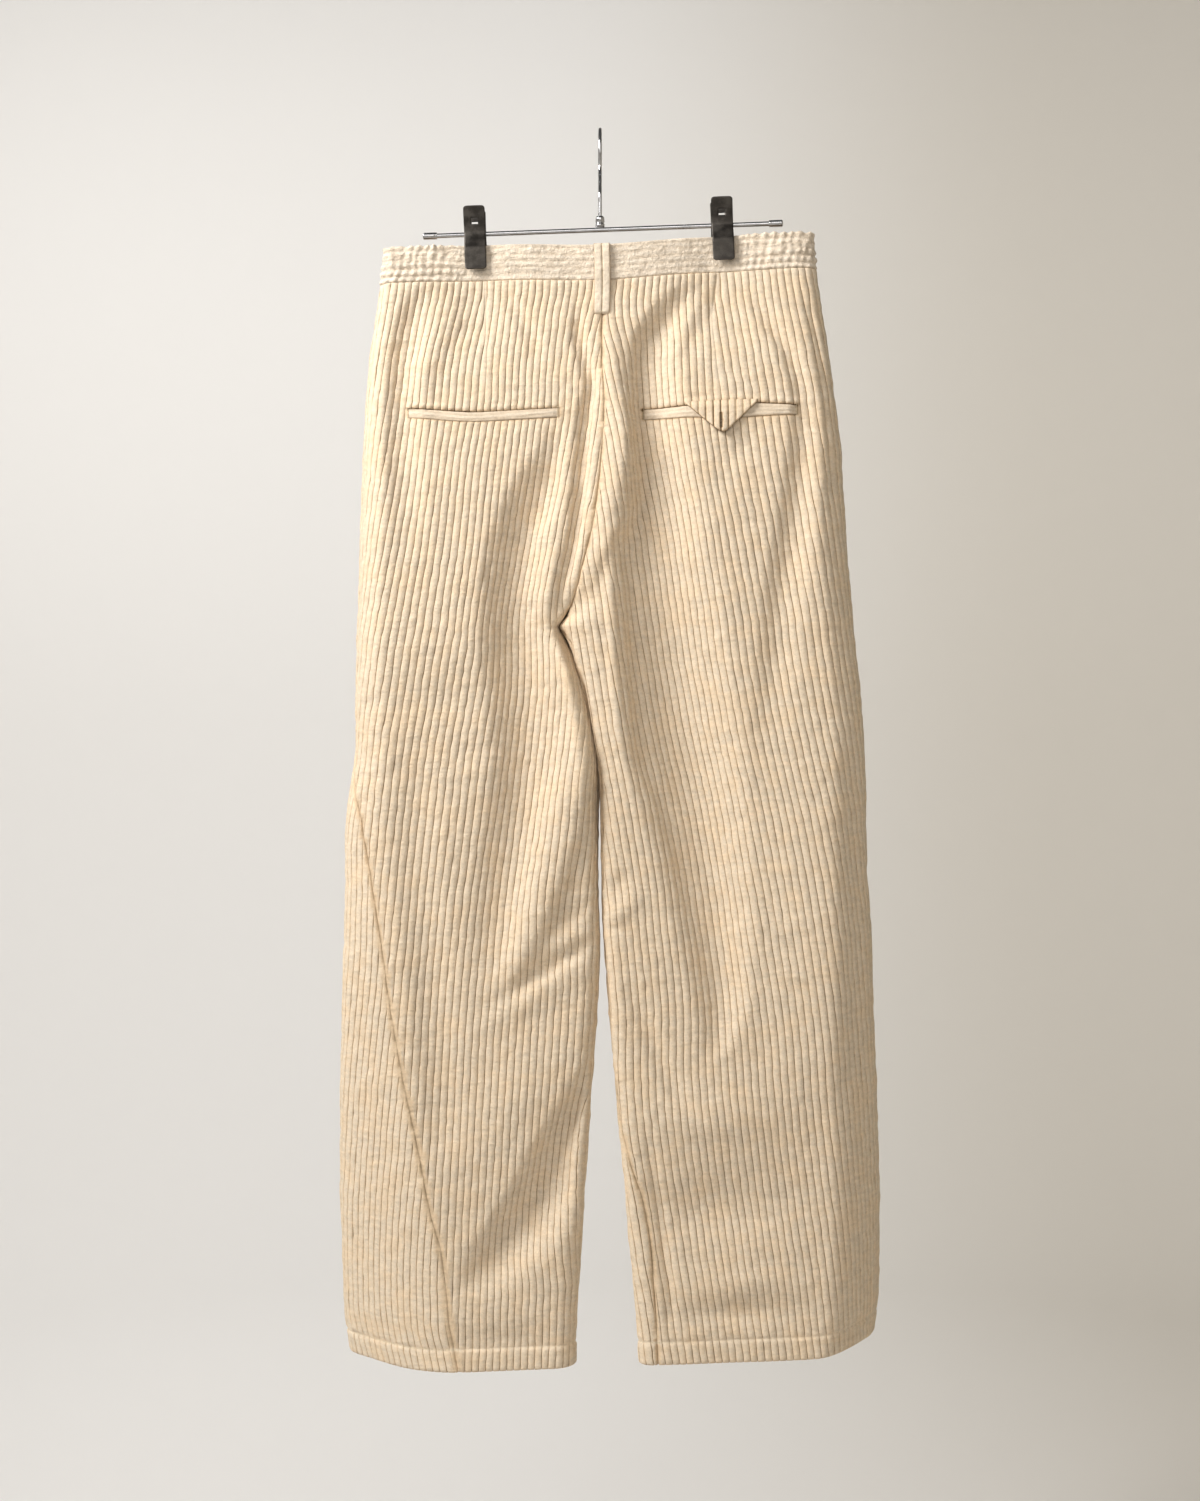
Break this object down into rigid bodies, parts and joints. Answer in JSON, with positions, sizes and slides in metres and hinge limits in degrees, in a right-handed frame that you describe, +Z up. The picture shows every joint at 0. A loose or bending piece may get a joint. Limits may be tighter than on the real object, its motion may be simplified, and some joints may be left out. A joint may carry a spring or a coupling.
{
  "type": "corduroy trousers on a clip hanger",
  "caption": "Wide-leg cream jumbo-wale corduroy trousers hanging by the waist from a chrome two-clip hanger, with back pockets and a partly gathered waistband.",
  "frame": {"origin": "the underside of the hook's crown, where a rail carries the hanger", "axes": "+Z up, +X towards the wearer's right, -Y out of the back of the trousers"},
  "size_m": [0.5104, 0.0992, 1.1568],
  "materials": {
    "corduroy": "cut pile in wales",
    "button": "horn-coloured",
    "chrome": "polished",
    "clip": "dark polished"
  },
  "bodies": {
    "root": {"back_left": "corduroy", "back_right": "corduroy", "front_left": "corduroy", "front_right": "corduroy", "waistband_back": "corduroy", "waistband_front_left": "corduroy", "waistband_front_right": "corduroy", "belt_loop_back": "corduroy", "belt_loop_front_left": "corduroy", "belt_loop_front_right": "corduroy", "pocket_welt_left": "corduroy", "pocket_welt_right": "corduroy", "pocket_flap": "corduroy", "pocket_button": "button", "waist_button": "button", "hanger_bar": "chrome", "bar_cap_left": "chrome", "bar_cap_right": "chrome", "hanger_hook": "chrome", "hanger_ferrule": "chrome", "clip_left_near": "clip", "clip_left_far": "clip", "clip_left_barrel": "chrome", "clip_right_near": "clip", "clip_right_far": "clip", "clip_right_barrel": "chrome"}
  },
  "joints": []
}
